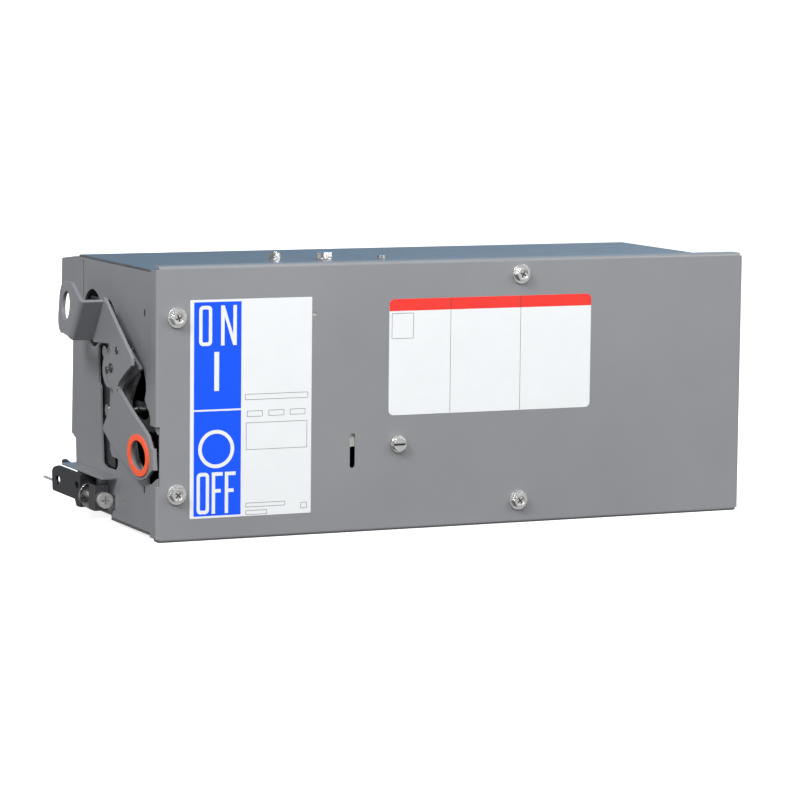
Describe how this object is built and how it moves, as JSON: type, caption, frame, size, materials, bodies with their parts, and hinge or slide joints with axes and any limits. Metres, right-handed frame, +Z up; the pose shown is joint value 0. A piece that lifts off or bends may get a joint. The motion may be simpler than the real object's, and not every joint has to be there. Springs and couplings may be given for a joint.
{
  "type": "busway tap off box",
  "caption": "Sheet-steel plug-on breaker unit for busway with an outside rocker handle, bus jaws at the back and a screwed front cover.",
  "frame": {"origin": "middle of the back panel's outer face, halfway along and halfway up the box", "axes": "+X along the box from the handle end, +Y back towards the busway, +Z up"},
  "size_m": [0.5185, 0.2438, 0.206],
  "materials": {
    "sheet_grey": "light grey enamel on sheet steel",
    "bracket_black": "black enamel on sheet steel",
    "zinc": "bright zinc plate",
    "orange": "orange moulding",
    "moulding_black": "black phenolic",
    "moulding_brown": "dark red-brown insulator",
    "copper": "copper bar",
    "tinned": "tin-plated aluminium",
    "white_plastic": "off-white moulding",
    "red_plastic": "red moulding"
  },
  "bodies": {
    "box": {"housing_shell": "sheet_grey", "mechanism_wall": "sheet_grey", "end_wall": "sheet_grey", "cover": "sheet_grey", "cover_screws": "zinc", "clip_nuts": "zinc", "pivot_bolt": "zinc", "pivot_nut": "zinc", "pivot_bush": "zinc", "guide_screws": "zinc", "guide_bracket": "bracket_black", "breaker_base": "moulding_black", "breaker_front": "moulding_black", "line_lugs": "tinned", "load_lugs": "tinned", "mounting_plate": "zinc", "mounting_screws": "zinc", "plate_spacers": "zinc", "jaw_base": "moulding_brown", "phase_jaw_a": "copper", "phase_jaw_b": "copper", "phase_jaw_c": "copper", "jaw_springs": "zinc", "line_strap_a": "copper", "line_strap_b": "copper", "line_strap_c": "copper", "ground_jaw": "zinc", "ground_bar": "tinned", "ground_bar_screws": "zinc", "clamp_shelf": "sheet_grey", "clamp_block": "zinc", "top_bolt": "zinc", "top_washer": "zinc", "top_stud": "zinc", "top_nut": "zinc", "top_screw": "zinc"},
    "handle": {"handle": "sheet_grey", "ring_bush": "orange", "drive_plate": "bracket_black", "hub_sleeve": "zinc", "handle_rivets": "zinc", "drive_pin": "zinc"},
    "slide": {"drive_slide": "bracket_black", "yoke_bar": "zinc", "toggle_fork": "zinc", "interlock_flag": "white_plastic"},
    "toggle": {"breaker_toggle": "moulding_black"},
    "trip_button": {"trip_button": "red_plastic"},
    "defeat": {"defeat_stud": "zinc", "defeat_lever": "zinc"},
    "clamp_screw": {"clamp_screw": "zinc"},
    "clamp_jaw": {"clamp_jaw": "bracket_black", "clamp_washer": "zinc"}
  },
  "joints": [
    {"name": "handle_turn", "type": "hinge", "parent": "box", "child": "handle", "pos_m": [-0.23625, -0.113, 0.022], "axis": [-1, 0, 0], "range_deg": [0, 56]},
    {"name": "slide_lift", "type": "slide", "parent": "box", "child": "slide", "axis": [0, 0, 1], "range_m": [0, 0.02011]},
    {"name": "toggle_tilt", "type": "hinge", "parent": "box", "child": "toggle", "pos_m": [-0.13525, -0.099, 0], "axis": [-1, 0, 0], "range_deg": [0, 34.4]},
    {"name": "trip_press", "type": "slide", "parent": "box", "child": "trip_button", "axis": [0, 1, 0], "range_m": [0, 0.0015], "stiffness_N_per_m": 250, "springref_m": -0.0005},
    {"name": "defeat_turn", "type": "hinge", "parent": "box", "child": "defeat", "pos_m": [-0.04255, -0.175, -0.0363], "axis": [0, -1, 0], "range_deg": [0, 90]},
    {"name": "clamp_turn", "type": "hinge", "parent": "box", "child": "clamp_screw", "pos_m": [-0.24075, -0.075, -0.0825], "axis": [0, 1, 0], "range_deg": [0, 2700]},
    {"name": "clamp_draw", "type": "slide", "parent": "box", "child": "clamp_jaw", "axis": [0, -1, 0], "range_m": [0, 0.006]}
  ],
  "couplings": [
    {"joint": "slide_lift", "follows": "handle_turn", "m_per_rad": 0.02057},
    {"joint": "toggle_tilt", "follows": "handle_turn", "ratio": 0.61418},
    {"joint": "clamp_turn", "follows": "clamp_draw", "rad_per_m": 7854}
  ]
}
